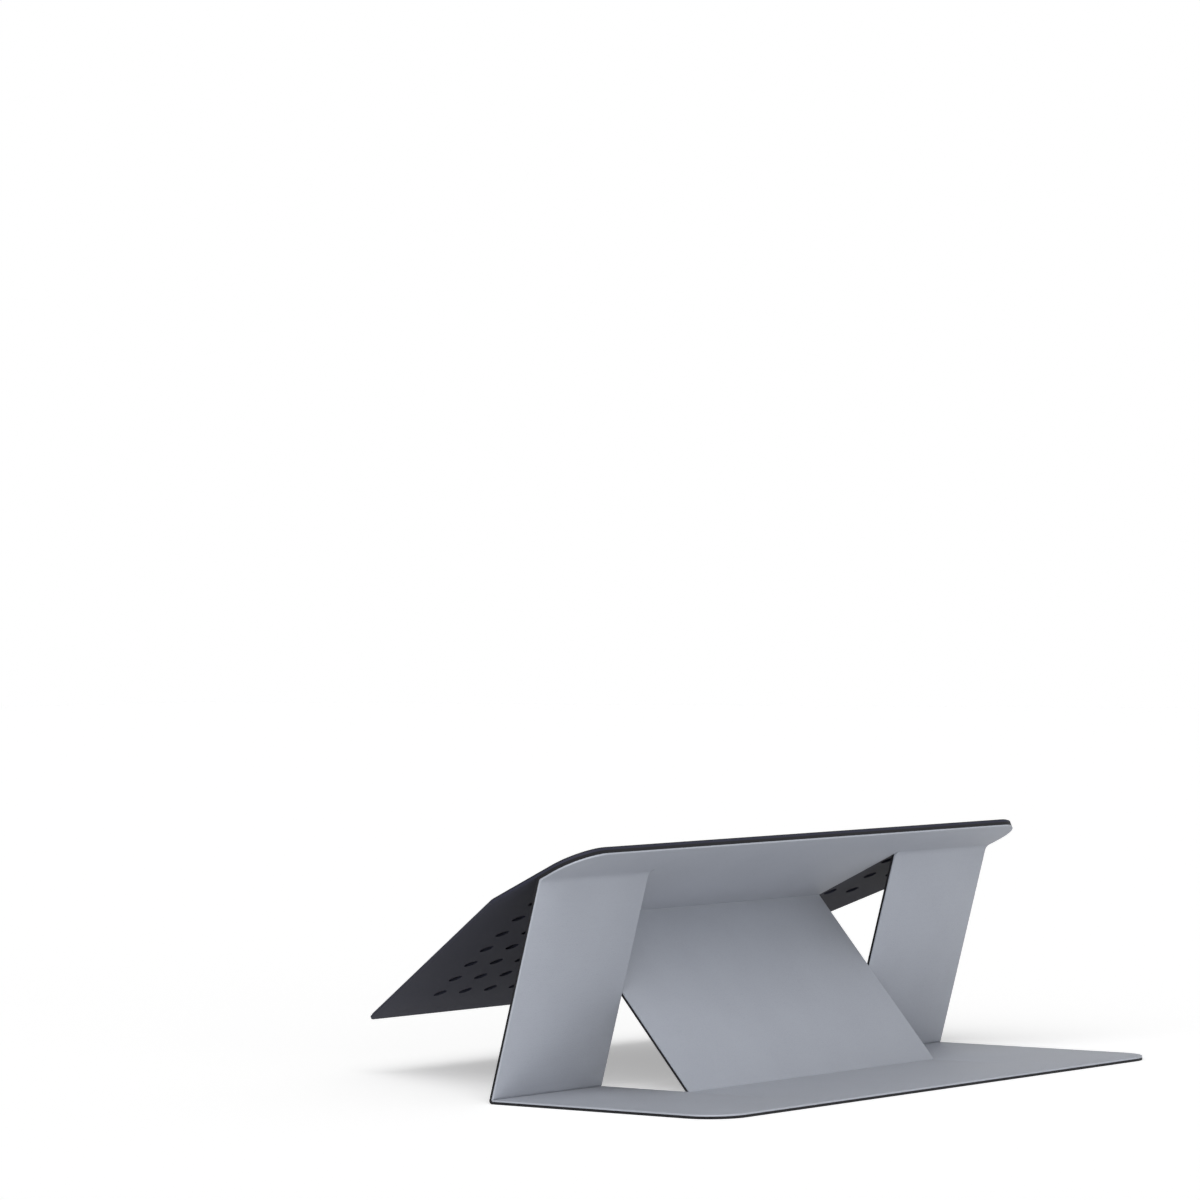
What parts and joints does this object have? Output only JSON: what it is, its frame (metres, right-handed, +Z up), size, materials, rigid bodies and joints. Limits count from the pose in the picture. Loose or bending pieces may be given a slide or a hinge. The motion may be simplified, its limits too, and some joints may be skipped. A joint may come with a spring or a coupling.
{
  "type": "adhesive laptop stand",
  "caption": "Thin folding stand that sticks under a laptop: a perforated plate with an adhesive pad, and a leather-faced sheet that folds into legs, base and flap.",
  "frame": {"origin": "centre of the stand's footprint box, on the table", "axes": "+X along the creases, +Y towards the front of the laptop, +Z up; the stand is open, as in use"},
  "size_m": [0.226, 0.1706, 0.0747],
  "materials": {
    "adhesive": "soft, slightly tacky",
    "plate": "matt fibre-reinforced sheet",
    "board": "matt, dark cut edge",
    "skin": "fine-grained, satin",
    "crease": "fine-grained, pressed",
    "magnet": "nickel-plated"
  },
  "bodies": {
    "mount": {"adhesive_pad": "adhesive", "mounting_plate": "plate", "plate_magnet_left": "magnet", "plate_magnet_right": "magnet", "head_board": "board", "head_skin": "skin", "top_crease_left": "crease", "top_crease_right": "crease", "flap_top_crease": "crease"},
    "legs": {"left_leg_board": "board", "left_leg_skin": "skin", "right_leg_board": "board", "right_leg_skin": "skin", "foot_crease_left": "crease", "foot_crease_right": "crease"},
    "base": {"base_board": "board", "base_skin": "skin", "base_magnet_left": "magnet", "base_magnet_right": "magnet", "flap_foot_crease": "crease"},
    "flap": {"flap_board": "board", "flap_skin": "skin"}
  },
  "joints": [
    {"name": "leg_fold", "type": "hinge", "parent": "mount", "child": "legs", "pos_m": [0, -0.02107, 0.06538], "axis": [1, 0, 0], "range_deg": [0, 48.76]},
    {"name": "base_fold", "type": "hinge", "parent": "legs", "child": "base", "pos_m": [0, -0.00233, 0.00105], "axis": [1, 0, 0], "range_deg": [0, 106.24]},
    {"name": "flap_fold", "type": "hinge", "parent": "base", "child": "flap", "pos_m": [0, -0.03533, 0.00105], "axis": [1, 0, 0], "range_deg": [-48.76, 0]}
  ],
  "couplings": [
    {"joint": "base_fold", "follows": "leg_fold", "ratio": 2.1789},
    {"joint": "flap_fold", "follows": "leg_fold", "ratio": -1}
  ]
}
